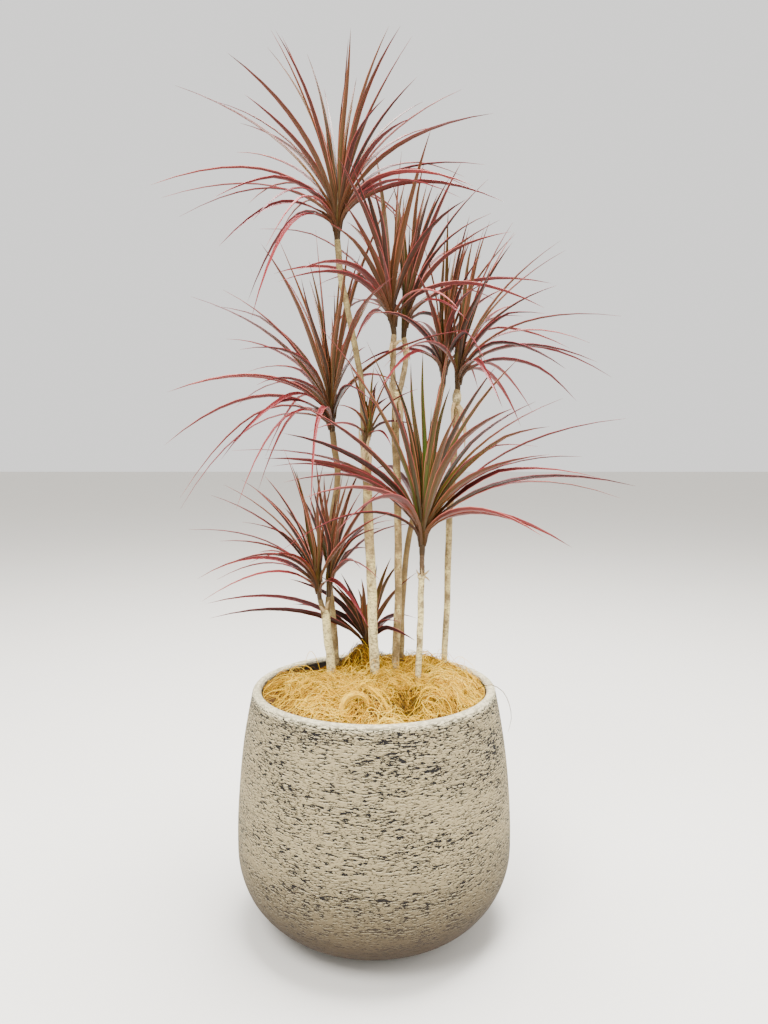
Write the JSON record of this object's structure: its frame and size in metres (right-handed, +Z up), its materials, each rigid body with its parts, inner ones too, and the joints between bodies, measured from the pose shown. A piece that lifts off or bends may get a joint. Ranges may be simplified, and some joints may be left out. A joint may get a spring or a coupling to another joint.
{
  "type": "potted dracaena",
  "caption": "Slim-caned dracaena with arching heads of narrow maroon leaves, in a barrel-shaped pitted cement pot mulched with coconut fibre.",
  "frame": {"origin": "middle of the pot's flat foot, on the surface it stands on", "axes": "+Z up along the canes, -Y towards the viewer of the picture, +X to the viewer's right"},
  "size_m": [0.6134, 0.4597, 1.1384],
  "materials": {
    "pot": "matt light grey-beige cement with small dark pits",
    "soil": "dark moist potting soil",
    "coir": "golden curled coconut fibre",
    "cane": "cream to tan bark with ring scars",
    "leaf": "satin maroon leaf with olive middle and pink edges"
  },
  "bodies": {
    "root": {"pot": "pot", "soil": "soil", "coir_mulch": "coir", "cane_a": "cane", "cane_b": "cane", "cane_c": "cane", "cane_d": "cane", "cane_e": "cane", "cane_f": "cane", "cane_g": "cane", "cane_h": "cane", "head_1": "leaf", "head_2": "leaf", "head_3a": "leaf", "head_3b": "leaf", "head_4a": "leaf", "head_4b": "leaf", "head_5": "leaf", "head_6a": "leaf", "head_6b": "leaf", "head_7": "leaf", "head_8": "leaf"}
  },
  "joints": []
}
